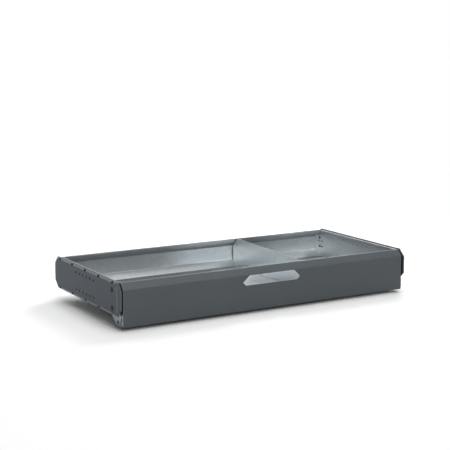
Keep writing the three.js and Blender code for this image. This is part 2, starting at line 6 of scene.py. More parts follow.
import bmesh
import bpy
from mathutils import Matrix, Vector


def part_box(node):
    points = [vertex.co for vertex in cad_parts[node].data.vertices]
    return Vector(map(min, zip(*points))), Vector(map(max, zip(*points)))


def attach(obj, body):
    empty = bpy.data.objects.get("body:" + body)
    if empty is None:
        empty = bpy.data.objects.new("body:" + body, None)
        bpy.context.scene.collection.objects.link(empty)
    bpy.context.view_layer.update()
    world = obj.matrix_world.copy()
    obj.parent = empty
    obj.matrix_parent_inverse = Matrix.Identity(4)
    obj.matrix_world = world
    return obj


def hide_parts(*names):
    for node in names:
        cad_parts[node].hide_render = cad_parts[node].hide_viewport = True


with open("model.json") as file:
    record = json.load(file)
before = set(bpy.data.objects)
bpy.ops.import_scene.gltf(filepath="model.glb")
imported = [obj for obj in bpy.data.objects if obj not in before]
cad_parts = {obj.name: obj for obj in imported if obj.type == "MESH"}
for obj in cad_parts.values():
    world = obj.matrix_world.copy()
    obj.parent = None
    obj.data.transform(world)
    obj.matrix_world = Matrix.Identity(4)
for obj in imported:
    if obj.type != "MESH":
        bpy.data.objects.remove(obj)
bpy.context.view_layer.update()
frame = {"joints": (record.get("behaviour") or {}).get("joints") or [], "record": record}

bl_info = {
    "name": "Drop-front shelf",
    "version": (1, 0, 0),
    "blender": (4, 5, 0),
    "location": "View3D > Sidebar > Shelf",
    "description": "Makes a shelf tray with a folding front flap, its finishes and its studio",
    "category": "Object",
}

# Lengths are in metres. NEAR is how far off still counts as at a place, SEAT is the room left between
# pieces that meet, and OVERRUN is how far a cutter reaches past what it cuts
MM = 0.001
NEAR = 0.02 * MM
SEAT = 0.3 * MM
OVERRUN = 5 * MM
LEVELS = ("upper", "lower")
ROOT_TWO = math.sqrt(2)
# How many sides or steps a round form gets
HEX = 6
ROD_STEPS = 32
FINE_STEPS = 48
ROUND_STEPS = 4
FOLD_STEPS = 6
WHITE = [1, 1, 1, 1]

# The photograph: 450 pixels square, and the camera that took it
IMAGE_SIDE = 450
FOCAL_PIXELS = 1150.66
SENSOR_WIDTH = 36
CAMERA_PLACE = (-1.7547, -2.9628, 0.8002)
CAMERA_TILT = 9.7445
CAMERA_TURN = 30.2957

# The studio
FLOOR_SIDE = 40
FLOOR_GAP = 8.5 * MM
LAMP_DISTANCE = 4
# Where the paper starts to go over into the white background, and where it has done so, in metres
PAPER_NEAR = 0.9
PAPER_FAR = 1.9
# Name, degrees round from the front, degrees up, width and height in metres, watts
LAMPS = (
    ("overhead_soft_box", 0, 90, 2.3, 2.3, 76),
    ("front_soft_box", 0, 30, 3.7, 1.6, 42),
    ("right_rear_soft_box", 130, 40, 1.6, 1.6, 80),
    ("rear_soft_box", 180, 35, 1.6, 1.6, 25),
)
# White boards low at the front and high at the right, seen only in what shines
BOARDS = (
    ("front_board", -41, 12, 2.8, 2.2, 520),
    ("right_board", 90, 58, 1.6, 1.6, 5),
)

# What the frame gives. Where a piece comes twice, the one at the right-hand end is worked out
PLATE_LOW, PLATE_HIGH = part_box("side_plate_right")
WALL_LOW, WALL_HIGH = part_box("end_wall_right")
TRAY_LOW, TRAY_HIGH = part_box("tray")
FLAP_LOW, FLAP_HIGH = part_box("flap")
DIVIDER_LOW, DIVIDER_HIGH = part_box("divider")
BRACKET_LOW, BRACKET_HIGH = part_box("hinge_bracket_right")
ARM_LOW, ARM_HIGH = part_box("hinge_arm_right")
HINGE_Y, HINGE_Z = HINGE = frame["joints"][0]["pos_m"][1:]

# Sheets, and the shell of the side plates
TRAY_SHEET = 1.2 * MM
FLAP_SHEET = 1.5 * MM
DIVIDER_SHEET = 1 * MM
PLATE_WALL = 2 * MM

# Tray
FLOOR_TOP = PLATE_LOW.z + TRAY_SHEET
BACK_Y = TRAY_HIGH.y - TRAY_SHEET
LOWER_SLOPE = 20 * MM
UPPER_SLOPE = 25.1 * MM
TRAY_TOP_DROP = 1.7 * MM
BACK_TOP = PLATE_HIGH.z - TRAY_TOP_DROP - TRAY_SHEET * ROOT_TWO
HEM_WIDTH = 8 * MM
HEM_ROUND = 1.3 * MM

# Side plates
PLATE_DEPTH = 7 * MM
RIM_X = PLATE_HIGH.x - PLATE_DEPTH
PLATE_CUT = 22 * MM
RIM_WIDTH = 6.5 * MM
RIM_DEPTH = 2 * MM
NOSE_LENGTH = 23 * MM
NOSE_EDGE = 2 * MM
NOSE_DROP = 1.2 * MM
NOSE_GAP = 1.5 * MM
MOULD_ANGLE = math.radians(15)
ROW_HOLE_RADIUS = 2.3 * MM
ROW_HOLE_PLAY = 1.3 * MM
ROW_HOLE_COUNT = 6
ROW_HOLE_PITCH = 25 * MM
ROW_START = PLATE_LOW.y + 175.2 * MM
ROW_TOP = PLATE_HIGH.z - 22.7 * MM
ROW_SPACING = 49.6 * MM
ROW_HOLES = [
    (ROW_START + index * ROW_HOLE_PITCH, z)
    for z in (ROW_TOP, ROW_TOP - ROW_SPACING) for index in range(ROW_HOLE_COUNT)
]
EDGE_HOLE_RADIUS = 3.8 * MM
EDGE_HOLE_STRETCH = 1.7
EDGE_HOLE_INSET = 4.6 * MM
EDGE_HOLE_COUNT = 5
EDGE_HOLE_PITCH = 92.5 * MM
EDGE_HOLE_START = PLATE_LOW.y + 50.7 * MM
EDGE_HOLES = [EDGE_HOLE_START + index * EDGE_HOLE_PITCH for index in range(EDGE_HOLE_COUNT)]
POCKET_FLOOR = 1.5 * MM
POCKET_WALL = 2 * MM
RIB_THICKNESS = 2 * MM
BOLT_BOSS_RADIUS = 8.5 * MM
SCREW_BOSS_RADIUS = 6 * MM
SLOT_MARGIN = 2.5 * MM
SLOT_RISE = 14 * MM

# End walls. Keyholes are given by how far they lie from the side plate's rear and top
WALL_SHEET_X = WALL_LOW.x + TRAY_SHEET
WALL_FRONT_STEP = 20 * MM
WALL_TOP_STEP = 10.5 * MM
WALL_FLANGE_REAR_GAP = 2.5 * MM
KEYHOLE_LENGTH = 11 * MM
KEYHOLE_WIDTH = 4.5 * MM
KEYHOLES = ((22.8 * MM, 40.8 * MM), (42.5 * MM, 40.8 * MM), (42.5 * MM, 59.3 * MM))

# Flap
FLAP_SLOPE = 17.6 * MM
FLAP_LIP = 4 * MM
LIP_BACK = FLAP_LOW.y + FLAP_SLOPE + FLAP_LIP
FLAP_HEM_DROP = 10 * MM
FLAP_END_RETURN = 13.5 * MM
FLAP_END_ROUND = 2 * MM
FLAP_FOOT_ROUND = 4 * MM
HOLD_TOP_HALF = 76 * MM
HOLD_TIP_HALF = 97.5 * MM
HOLD_BOTTOM_HALF = 87.5 * MM
HOLD_DROP = 19.3 * MM
HOLD_TIP_DROP = 19.7 * MM
HOLD_HEIGHT = 29.3 * MM
HOLD_ROUND = 4.5 * MM
HOLD_STEPS = 5
STUD_DROP = 34.6 * MM
STUD_BACK = 9 * MM
DIMPLE_RADIUS = 3 * MM

# Divider
DIVIDER_FRONT_DROP = 9 * MM
DIVIDER_REAR_GAP = 3 * MM
FOOT_REAR_Y = BACK_Y - LOWER_SLOPE - SEAT - TRAY_SHEET

# Hinge brackets and arms
BRACKET_NOSE_RISE = 8 * MM
BRACKET_NOSE_RUN = 7 * MM
BRACKET_BOTTOM_RUN = 21 * MM
BRACKET_TAIL_RISE = 24 * MM
BRACKET_SHOULDER = 35 * MM
BRACKET_NECK_DROP = 32 * MM
BRACKET_CORNER = 2 * MM
ARM_LIFT = 6 * MM
ARM_WIDTH = 12 * MM
ARM_CORNER = 1.5 * MM
EYE_RADIUS = 11 * MM

# Pins, bolts, nuts, screws and rivets
DOME_STEPS = 5
DOME_TIP_SHARE = 0.12
PIN_RADIUS = 3 * MM
PIN_HOLE_RADIUS = PIN_RADIUS + SEAT / 2
PIVOT_HOLE_RADIUS = 3.3 * MM
PIN_HEAD_RADIUS = 5.2 * MM
PIN_HEAD_HEIGHT = 1.5 * MM
WASHER_RADIUS = 7 * MM
BOLT_RADIUS = 2.5 * MM
BOLT_HOLE_RADIUS = 2.9 * MM
BOLT_POINT = 0.4 * MM
BOLT_HEAD_RADIUS = 4.3 * MM
BOLT_HEAD_HEIGHT = 2.6 * MM
BOLT_HEAD_BREAK = 0.5 * MM
BOLT_PLAY = 2.8 * MM
SOCKET_RADIUS = 2.1 * MM
SOCKET_DEPTH = 1.5 * MM
SLEEVE_RADIUS = 5 * MM
NUT_RADIUS = 4.8 * MM
NUT_BREAK = 0.6 * MM
NUT_CONE_SHARE = 0.82
SCREW_RADIUS = 2.2 * MM
SCREW_HOLE_RADIUS = 2.5 * MM
SCREW_HEAD_RADIUS = 4.2 * MM
SCREW_HEAD_HEIGHT = 1.8 * MM
SCREW_POINT = 1.5 * MM
SCREW_REACH = 8 * MM
SCREW_RECESS_RADIUS = 1.5 * MM
SCREW_RECESS_DEPTH = 0.9 * MM
RIVET_RADIUS = 1.8 * MM
RIVET_HOLE_RADIUS = 2.1 * MM
RIVET_HEAD_RADIUS = 3.2 * MM
RIVET_HEAD_HEIGHT = 0.8 * MM
DIVIDER_SCREW_RADIUS = 2 * MM
DIVIDER_HOLE_RADIUS = 2.3 * MM
DIVIDER_SCREW_HEAD_RADIUS = 4 * MM
DIVIDER_SCREW_HEAD = 2 * MM

# Snap studs and buffers
STUD_RADIUS = 4 * MM
STUD_BASE = 0.9 * MM
BUFFER_ROUND = 0.8 * MM

# Broken edges and shading: how sharp an edge has to be
BREAK_ANGLE = math.radians(40)
SMOOTH_ANGLE = math.radians(35)

# Painted rim highlight: how far a rim's normal lies along the shelf, and by how much that may differ
RIM_LEAN = 0.89
RIM_LEAN_RANGE = 0.08

# Painted shade in holes and gaps: how wide a gap it darkens, how much of the sky is open where the
# shade is full and where there is none, and its colour
GAP_REACH = 9 * MM
GAP_FULL_SHADE = 0.4
GAP_UNSHADED = 0.9
GAP_PAINTED_SHADE = "0C0D0E"

# Gloss: the part of a noise pattern that counts, and by how much it makes a surface duller or brighter
NOISE_LOW = 0.3
NOISE_HIGH = 0.7
GLOSS_SPREAD = 0.05
# Dull skins shine less than the shader's 0.5
DULL_SPECULAR = 0.3


def middle(node):
    """The middle of a CAD node's box."""
    low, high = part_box(node)
    return (low + high) / 2


def linear(hex_colour):
    """An sRGB colour such as 53585C as linear red, green, blue and alpha."""
    channels = [int(hex_colour[i : i + 2], 16) / 255 for i in (0, 2, 4)]
    return [c / 12.92 if c <= 0.04045 else ((c + 0.055) / 1.055) ** 2.4 for c in channels] + [1]


def only(piece):
    """Makes one piece the only selected one, and the active one."""
    bpy.ops.object.select_all(action="DESELECT")
    piece.select_set(True)
    bpy.context.view_layer.objects.active = piece


def edit():
    """Opens the active piece for editing, with all of it selected."""
    bpy.ops.object.mode_set(mode="EDIT")
    bpy.ops.mesh.select_all(action="SELECT")


def leave():
    """Ends editing."""
    bpy.ops.object.mode_set(mode="OBJECT")


def start(name):
    """Names the primitive just added, puts its place into its mesh and opens it for editing."""
    piece = bpy.context.object
    piece.name = piece.data.name = name
    bpy.ops.object.transform_apply(location=True, rotation=True, scale=True)
    edit()
    return piece


def block(name, low, high):
    """A block between two corners, open for editing."""
    low, high = Vector(low), Vector(high)
    bpy.ops.mesh.primitive_cube_add(size=1, location=(low + high) / 2, scale=high - low)
    return start(name)


def bar(name, low, high):
    """A plain block between two corners, to cut with or to join."""
    piece = block(name, low, high)
    leave()
    return piece


def pick(kind, test):
    """Selects the edited piece's vertices, edges or faces whose corners pass a test."""
    bpy.ops.mesh.select_mode(type=kind)
    bpy.ops.mesh.select_all(action="DESELECT")
    mesh = bmesh.from_edit_mesh(bpy.context.object.data)
    for item in {"VERT": mesh.verts, "EDGE": mesh.edges, "FACE": mesh.faces}[kind]:
        corners = [item.co] if kind == "VERT" else [vertex.co for vertex in item.verts]
        if test(corners):
            item.select_set(True)
    mesh.select_flush_mode()
    bmesh.update_edit_mesh(bpy.context.object.data)


def at(x=None, y=None, z=None):
    """A test that passes what lies wholly at the coordinates given."""
    wanted = [(axis, value) for axis, value in enumerate((x, y, z)) if value is not None]
    return lambda corners: all(abs(c[axis] - value) < NEAR for c in corners for axis, value in wanted)


def along(axis):
    """A test that passes edges that run along an axis: 0 for X, 1 for Y."""
    return lambda corners: abs(corners[0][axis] - corners[1][axis]) > MM


def extrude(step):
    """Extrudes what is selected."""
    bpy.ops.mesh.extrude_region_move(TRANSFORM_OT_translate={"value": step})


def shift(step):
    """Moves what is selected."""
    bpy.ops.transform.translate(value=step)


def stretch(shares, centre):
    """Stretches what is selected from a centre, along X, Y and Z."""
    bpy.ops.transform.resize(value=shares, center_override=centre)


def face_outwards():
    """Turns the edited solid's faces outwards."""
    bpy.ops.mesh.select_all(action="SELECT")
    bpy.ops.mesh.normals_make_consistent(inside=False)


def face_of(name, corners):
    """A flat face with the given corners, open for editing and selected."""
    centre = sum(corners, Vector()) / len(corners)
    bpy.ops.mesh.primitive_circle_add(
        vertices=len(corners), radius=HEM_WIDTH, fill_type="NGON", location=centre
    )
    piece = start(name)
    bpy.ops.mesh.select_mode(type="VERT")
    for index, corner in enumerate(corners):
        bpy.ops.mesh.select_all(action="DESELECT")
        mesh = bmesh.from_edit_mesh(piece.data)
        mesh.verts.ensure_lookup_table()
        mesh.verts[index].select_set(True)
        step = corner - mesh.verts[index].co
        bmesh.update_edit_mesh(piece.data)
        shift(step)
    bpy.ops.mesh.select_mode(type="FACE")
    bpy.ops.mesh.select_all(action="SELECT")
    return piece


def across(name, points, x):
    """A flat face across X with the given (y, z) corners, open for editing and selected."""
    return face_of(name, [Vector((x, y, z)) for y, z in points])


def slab(name, points, low, high):
    """A flat solid between two ends along X with the given (y, z) corners, open for editing."""
    piece = across(name, points, low)
    extrude((high - low, 0, 0))
    face_outwards()
    return piece


def folded(name, path, low, high):
    """A sheet folded along X between two ends, open for editing. Its faces look to the left of the
    path, which is a list of (y, z) points."""
    (y, z), (next_y, next_z), *rest = path
    piece = face_of(name, [
        Vector((low, y, z)), Vector((high, y, z)),
        Vector((high, next_y, next_z)), Vector((low, next_y, next_z)),
    ])
    pick("EDGE", at(y=next_y, z=next_z))
    for (y, z), (next_y, next_z) in zip(path[1:], rest):
        extrude((0, next_y - y, next_z - z))
    return piece


def chamfer(test, width, segments=1):
    """Cuts back the edited piece's edges that pass a test."""
    pick("EDGE", test)
    bpy.ops.mesh.bevel(offset=width, segments=segments, affect="EDGES")


def round_edges(test, radius, segments=ROUND_STEPS):
    """Rounds the edited piece's edges that pass a test. They all turn by one angle."""
    pick("EDGE", test)
    mesh = bmesh.from_edit_mesh(bpy.context.object.data)
    turn = next(edge.calc_face_angle() for edge in mesh.edges if edge.select)
    bpy.ops.mesh.bevel(offset=radius * math.tan(turn / 2), segments=segments, affect="EDGES")


def with_modifier(piece, kind, **settings):
    """Adds a modifier with its settings and applies it."""
    only(piece)
    modifier = piece.modifiers.new(kind.lower(), kind)
    for name, value in settings.items():
        setattr(modifier, name, value)
    bpy.ops.object.modifier_apply(modifier=modifier.name)


def thicken(piece, thickness):
    """Gives a sheet its thickness, behind its faces."""
    with_modifier(piece, "SOLIDIFY", thickness=thickness, offset=-1, use_even_offset=True, use_rim=True)


def combine(piece, others, operation="DIFFERENCE"):
    """Cuts other pieces out of a piece, or joins them to it, and removes them."""
    for other in others:
        with_modifier(piece, "BOOLEAN", operation=operation, object=other, solver="MANIFOLD")
        bpy.data.objects.remove(other)


def rod(radius, low, high, y, z, steps=ROD_STEPS):
    """A round bar along X."""
    bpy.ops.mesh.primitive_cylinder_add(
        vertices=steps, radius=radius, depth=abs(high - low),
        location=((low + high) / 2, y, z), rotation=(0, math.pi / 2, 0),
    )
    piece = start("rod")
    leave()
    return piece


def joined(pieces):
    """Several pieces as one, for those that don't overlap."""
    only(pieces[0])
    for piece in pieces:
        piece.select_set(True)
    bpy.ops.object.join()
    return pieces[0]


def turned(name, profile, place, axis="X", steps=ROD_STEPS):
    """A solid turned about a line along X or Z through a place. The profile lists (distance along
    the line, radius) from one end to the other."""
    along_axis = 0 if axis == "X" else 2
    point = Vector(place)
    point[along_axis], radius = profile[0]
    bpy.ops.mesh.primitive_circle_add(
        vertices=steps, radius=radius, fill_type="NGON", location=point,
        rotation=(0, math.pi / 2, 0) if axis == "X" else (0, 0, 0),
    )
    piece = start(name)
    for distance, next_radius in profile[1:]:
        step = Vector()
        step[along_axis] = distance - point[along_axis]
        extrude(step)
        point[along_axis] = distance
        shares = Vector((1, 1, 1)) * (next_radius / radius)
        shares[along_axis] = 1
        stretch(shares, point)
        radius = next_radius
    face_outwards()
    leave()
    return piece


def copied(piece, name, step=(0, 0, 0), mirror=False):
    """A copy with its own mesh, moved by a step or mirrored to the shelf's other end."""
    only(piece)
    bpy.ops.object.duplicate()
    twin = bpy.context.object
    twin.name = twin.data.name = name
    edit()
    if mirror:
        stretch((-1, 1, 1), (0, 0, 0))
        bpy.ops.mesh.flip_normals()
    else:
        shift(step)
    leave()
    return twin


def finish(piece, node, surface, width=0.3 * MM):
    """Breaks a piece's sharp edges, smooths its shading, gives it its surface and puts it in the
    place of its CAD node."""
    if width:
        with_modifier(
            piece, "BEVEL", width=width, segments=2, limit_method="ANGLE",
            angle_limit=BREAK_ANGLE, use_clamp_overlap=True, miter_outer="MITER_ARC",
        )
    only(piece)
    bpy.ops.object.shade_smooth_by_angle(angle=SMOOTH_ANGLE)
    with_modifier(piece, "WEIGHTED_NORMAL", keep_sharp=True)
    piece.data.materials.clear()
    piece.data.materials.append(surface())
    for body, nodes in frame["record"]["behaviour"]["bodies"].items():
        if node in nodes:
            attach(piece, body)
    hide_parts(node)


def pair(right, node, surface, **settings):
    """Mirrors a right-hand piece to the left, and finishes both."""
    left = copied(right, right.name.replace("right", "left"), mirror=True)
    finish(right, f"{node}_right", surface, **settings)
    finish(left, f"{node}_left", surface, **settings)


def spread(upper, node, surface, **settings):
    """Copies a piece made at the right upper place to the other three, and finishes all four."""
    drop = middle(f"{node}_right_lower") - middle(f"{node}_right_upper")
    rights = [upper, copied(upper, upper.name.replace("upper", "lower"), step=drop)]
    lefts = [copied(one, one.name.replace("right", "left"), mirror=True) for one in rights]
    for side, pieces in (("right", rights), ("left", lefts)):
        for level, piece in zip(LEVELS, pieces):
            finish(piece, f"{node}_{side}_{level}", surface, **settings)


def spots(kind):
    """Where the right-hand CAD nodes of a kind lie, the upper one first, as (y, z)."""
    return [middle(f"{kind}_right_{level}")[1:] for level in LEVELS]


def through(low, high):
    """Two ends along X that lie well outside a box."""
    return low.x - OVERRUN, high.x + OVERRUN


def rods(radius, ends, places):
    """Round bars along X between two ends, one at each (y, z) place."""
    return [rod(radius, *ends, y, z) for y, z in places]


def drill(piece, bars):
    """Cuts several bars that don't overlap out of a piece."""
    combine(piece, [joined(bars)])


def ring(name, node, radius, hole):
    """A round bar with a hole right through it, between the ends of a CAD node."""
    low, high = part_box(node)
    place = middle(node)
    piece = turned(name, [(low.x, radius), (high.x, radius)], place)
    combine(piece, rods(hole, through(low, high), [place[1:]]))
    return piece


def recess(piece, radius, low, high, place):
    """Cuts a six-sided recess along X, between two ends, into a screw's head."""
    combine(piece, [rod(radius, low, high, place.y, place.z, HEX)])


def foot_screw_drill():
    """Upright bars, as one, that cut the holes for the screws in the divider's foot."""
    profile = [(TRAY_LOW.z, DIVIDER_HOLE_RADIUS), (FLOOR_TOP + OVERRUN, DIVIDER_HOLE_RADIUS)]
    nodes = [f"divider_screw_{index}" for index in (1, 2, 3)]
    return joined([turned("drill", profile, middle(node), "Z") for node in nodes])


def domed(base, radius, height, outwards=1):
    """The profile of a low dome that stands on a flat, as (distance, radius) points."""
    angles = [math.pi / 2 * step / DOME_STEPS for step in range(DOME_STEPS)]
    crown = [(base + outwards * height * math.sin(a), radius * math.cos(a)) for a in angles[1:]]
    return [(base, radius)] + crown + [(base + outwards * height, radius * DOME_TIP_SHARE)]


def headed(low, high, radius, head_radius, head_height):
    """The profile of a shank with a domed head at each end, as (distance, radius) points."""
    inner, outer = low.x + head_height, high.x - head_height
    return (
        domed(inner, head_radius, head_height, -1)[::-1] + [(inner, radius), (outer, radius)]
        + domed(outer, head_radius, head_height)
    )


def add(tree, kind, sockets=None, **settings):
    """Adds a shader node with its settings. Each socket named gets a value or another node's output."""
    node = tree.nodes.new(f"ShaderNode{kind}")
    for name, value in settings.items():
        setattr(node, name, value)
    for name, value in (sockets or {}).items():
        if isinstance(value, bpy.types.NodeSocket):
            tree.links.new(value, node.inputs[name])
        else:
            node.inputs[name].default_value = value
    return node


def empty_material(name):
    """A material with no nodes yet, and its node tree."""
    material = bpy.data.materials.new(name)
    material.use_nodes = True
    material.node_tree.nodes.clear()
    return material, material.node_tree


def chosen(name):
    """A colour that the panel gives, with its alpha."""
    return [*getattr(bpy.context.scene.shelf_finishes, name), 1]


def uneven(tree, height, rough, strength, depth):
    """What a shader needs for a gloss and a relief that follow a pattern's height."""
    gloss = add(tree, "MapRange", {
        "Value": height, "From Min": NOISE_LOW, "From Max": NOISE_HIGH,
        "To Min": rough - GLOSS_SPREAD, "To Max": rough + GLOSS_SPREAD,
    })
    bump = add(tree, "Bump", {"Height": height, "Strength": strength, "Distance": depth})
    return {"Roughness": gloss.outputs["Result"], "Normal": bump.outputs["Normal"]}


def galvanised_sheet():
    """Hot-dip galvanised steel, smoothed between rolls: a satin cool grey that mirrors softly, with
    pale crystals a few millimetres wide just to be made out, and faint clouds."""
    material, tree = empty_material("galvanised_sheet")
    place = add(tree, "TexCoord").outputs["Object"]
    # Real crystals of this grade are about 3 mm, drawn at 9 mm so that they show
    crystals = add(tree, "TexVoronoi", {"Vector": place, "Scale": 1 / (9 * MM)})
    tone = add(tree, "SeparateColor", {"Color": crystals.outputs["Color"]})
    clouds = add(tree, "TexNoise", {"Vector": place, "Scale": 1 / (120 * MM), "Detail": 3.0})
    share = add(tree, "Math", {
        0: tone.outputs["Red"], 1: clouds.outputs["Fac"],
    }, operation="MULTIPLY").outputs["Value"]
    # A Mix node has its colours in sockets 6 and 7, and mixes them into output 2
    tint = add(tree, "Mix", {
        "Factor": share, 6: chosen("zinc_dark"), 7: chosen("zinc_light"),
    }, data_type="RGBA")
    rough = add(tree, "MapRange", {"Value": share, "To Min": 0.29, "To Max": 0.32})
    # Rolling leaves ripples about 30 mm apart and a few hundredths of a millimetre deep
    ripples = add(tree, "TexNoise", {"Vector": place, "Scale": 1 / (30 * MM), "Detail": 1.0})
    bump = add(tree, "Bump", {"Height": ripples.outputs["Fac"], "Strength": 0.03, "Distance": 0.1 * MM})
    shader = add(tree, "BsdfPrincipled", {
        "Base Color": tint.outputs[2],
        "Metallic": 1.0,
        "Roughness": rough.outputs["Result"],
        "Normal": bump.outputs["Normal"],
    })
    add(tree, "OutputMaterial", {"Surface": shader.outputs["BSDF"]})
    return material


def painted(name, dark, light, rim_highlight=None, *, cloud, grain, grain_depth, rough):
    """A dull coloured skin with faint clouds, a fine grain in its height and gloss, and painted shade that
    darkens holes and gaps where little sky reaches them. Clouds and grain are given by their size. A rim
    highlight colour is painted where the outside leans a little from the upright, for the light that the
    sloping rims catch."""
    material, tree = empty_material(name)
    spot = add(tree, "TexCoord")
    place = spot.outputs["Object"]
    grains = add(tree, "TexNoise", {"Vector": place, "Scale": 1 / grain, "Detail": 3.0})
    clouds = add(tree, "TexNoise", {"Vector": place, "Scale": 1 / cloud, "Detail": 3.0})
    tint = add(tree, "Mix", {"Factor": clouds.outputs["Fac"], 6: dark, 7: light}, data_type="RGBA")
    if rim_highlight:
        facing = add(tree, "SeparateXYZ", {"Vector": spot.outputs["Normal"]})
        lies = add(tree, "SeparateXYZ", {"Vector": place})
        side = add(tree, "Math", {0: lies.outputs["X"]}, operation="SIGN")
        lean = add(tree, "Math", {
            0: facing.outputs["X"], 1: side.outputs["Value"],
        }, operation="MULTIPLY")
        # Painted highlight: 1 on the sloping rims, and 0 on the flat face and in the holes
        rim_highlight_mask = add(tree, "Math", {
            0: lean.outputs["Value"], 1: RIM_LEAN, 2: RIM_LEAN_RANGE,
        }, operation="COMPARE")
        tint = add(tree, "Mix", {
            "Factor": rim_highlight_mask.outputs["Value"], 6: tint.outputs[2], 7: rim_highlight,
        }, data_type="RGBA")
    # Painted shade: the colour darkens where ambient occlusion finds holes and gaps
    sky = add(tree, "AmbientOcclusion", {"Distance": GAP_REACH}, samples=8)
    unshaded_share = add(tree, "MapRange", {
        "Value": sky.outputs["AO"], "From Min": GAP_FULL_SHADE, "From Max": GAP_UNSHADED,
    })
    painted_shade = add(tree, "Mix", {
        "Factor": unshaded_share.outputs["Result"], 6: linear(GAP_PAINTED_SHADE), 7: tint.outputs[2],
    }, data_type="RGBA")
    shader = add(tree, "BsdfPrincipled", {
        "Base Color": painted_shade.outputs[2],
        "Specular IOR Level": DULL_SPECULAR,
        **uneven(tree, grains.outputs["Fac"], rough, 0.3, grain_depth),
    })
    add(tree, "OutputMaterial", {"Surface": shader.outputs["BSDF"]})
    return material


def powder_coat():
    """Polyester powder coat on steel: dark grey, half matt, with a fine orange-peel skin."""
    # Orange peel of 1.5 mm, drawn at 4 mm so that it shows
    return painted(
        "powder_coat", chosen("coat_dark"), chosen("coat_light"),
        cloud=120 * MM, grain=4 * MM, grain_depth=0.07 * MM, rough=0.44,
    )


def moulded_polymer():
    """Glass-filled nylon, injection moulded and spark textured: dark blue-grey, matt and even, with
    a paler painted highlight on its sloping rims for the light that they catch."""
    # A spark texture of 0.3 mm, drawn at 3 mm so that it shows
    return painted(
        "moulded_polymer", chosen("polymer_dark"), chosen("polymer_light"), chosen("polymer_rim_highlight"),
        cloud=70 * MM, grain=3 * MM, grain_depth=0.1 * MM, rough=0.53,
    )


def rubber():
    """Black rubber: deep, matt, and a little dusty."""
    # Mould grain of 0.2 mm, drawn at 1.5 mm so that it shows
    return painted(
        "rubber", linear("1B1D1F"), linear("2A2C2E"),
        cloud=10 * MM, grain=1.5 * MM, grain_depth=0.08 * MM, rough=0.8,
    )


def nylon():
    """Black nylon: smooth and faintly waxy."""
    # Mould grain of 0.2 mm, drawn at 1.5 mm so that it shows
    return painted(
        "nylon", linear("17191B"), linear("24272A"),
        cloud=10 * MM, grain=1.5 * MM, grain_depth=0.04 * MM, rough=0.45,
    )


def treated_steel(name, dark, light, rough):
    """Turned or stamped steel with fine marks that the tool and the bath have left."""
    material, tree = empty_material(name)
    place = add(tree, "TexCoord").outputs["Object"]
    # Marks of 0.2 mm, drawn at 1 mm so that they show
    marks = add(tree, "TexNoise", {"Vector": place, "Scale": 1 / MM, "Detail": 3.0}).outputs["Fac"]
    tint = add(tree, "Mix", {"Factor": marks, 6: linear(dark), 7: linear(light)}, data_type="RGBA")
    shader = add(tree, "BsdfPrincipled", {
        "Base Color": tint.outputs[2],
        "Metallic": 1.0,
        **uneven(tree, marks, rough, 0.15, 0.05 * MM),
    })
    add(tree, "OutputMaterial", {"Surface": shader.outputs["BSDF"]})
    return material


def zinc_plated_steel():
    """Zinc plating: pale and satin, with a bluish tint."""
    return treated_steel("zinc_plated_steel", "92989D", "B0B6BB", 0.38)


def black_oxide_steel():
    """Black oxide on steel: nearly black, with an oily shine on the edges."""
    return treated_steel("black_oxide_steel", "121416", "1E2124", 0.45)


def chromated_steel():
    """Thick hinge steel with a passivated zinc coat: a darker, duller grey than the sheets."""
    return treated_steel("chromated_steel", "6E7276", "84888C", 0.45)


def length(name, description, default):
    """A size for the panel."""
    return bpy.props.FloatProperty(
        name=name, description=description, default=default, min=0.1 * MM, unit="LENGTH", precision=4
    )


def colour(name, description, default):
    """A colour for the panel, from an sRGB colour."""
    return bpy.props.FloatVectorProperty(
        name=name, description=description, default=linear(default)[:3], min=0, max=1, subtype="COLOR"
    )


class ShelfSizes(bpy.types.PropertyGroup):
    """Sizes that a user would change."""

    fold_radius: length("Fold radius", "Outer radius of the folds in the sheets", 2 * MM)
    mould_round: length("Moulding round", "Rounding of the side plates' edges", 1.2 * MM)


class ShelfFinishes(bpy.types.PropertyGroup):
    """Colours and light that a user would change."""

    coat_dark: colour("Flap, dark", "Darker tone of the flap's powder coat", "474D51")
    coat_light: colour("Flap, light", "Lighter tone of the flap's powder coat", "4D5357")
    polymer_dark: colour("Side plates, dark", "Darker tone of the side plates", "374149")
    polymer_light: colour("Side plates, light", "Lighter tone of the side plates", "3C464F")
    # Painted highlight: the paler tone painted on the side plates' sloping rims, for the light that they
    # catch
    polymer_rim_highlight: colour("Side plates, rims", "Tone of the side plates' highlighted rims", "80868B")
    zinc_dark: colour("Zinc, dark", "Darker tone of the galvanised sheets", "989C9E")
    zinc_light: colour("Zinc, light", "Lighter tone of the galvanised sheets", "A6AAAC")
    floor_white: colour("Floor", "Colour of the floor, for the light that it throws back", "E1E1E1")
    sky: bpy.props.FloatProperty(name="Sky", description="Strength of the light from all round", default=0.25)
    lamps: bpy.props.FloatProperty(name="Lamps", description="Share of the lamps' full power", default=1)


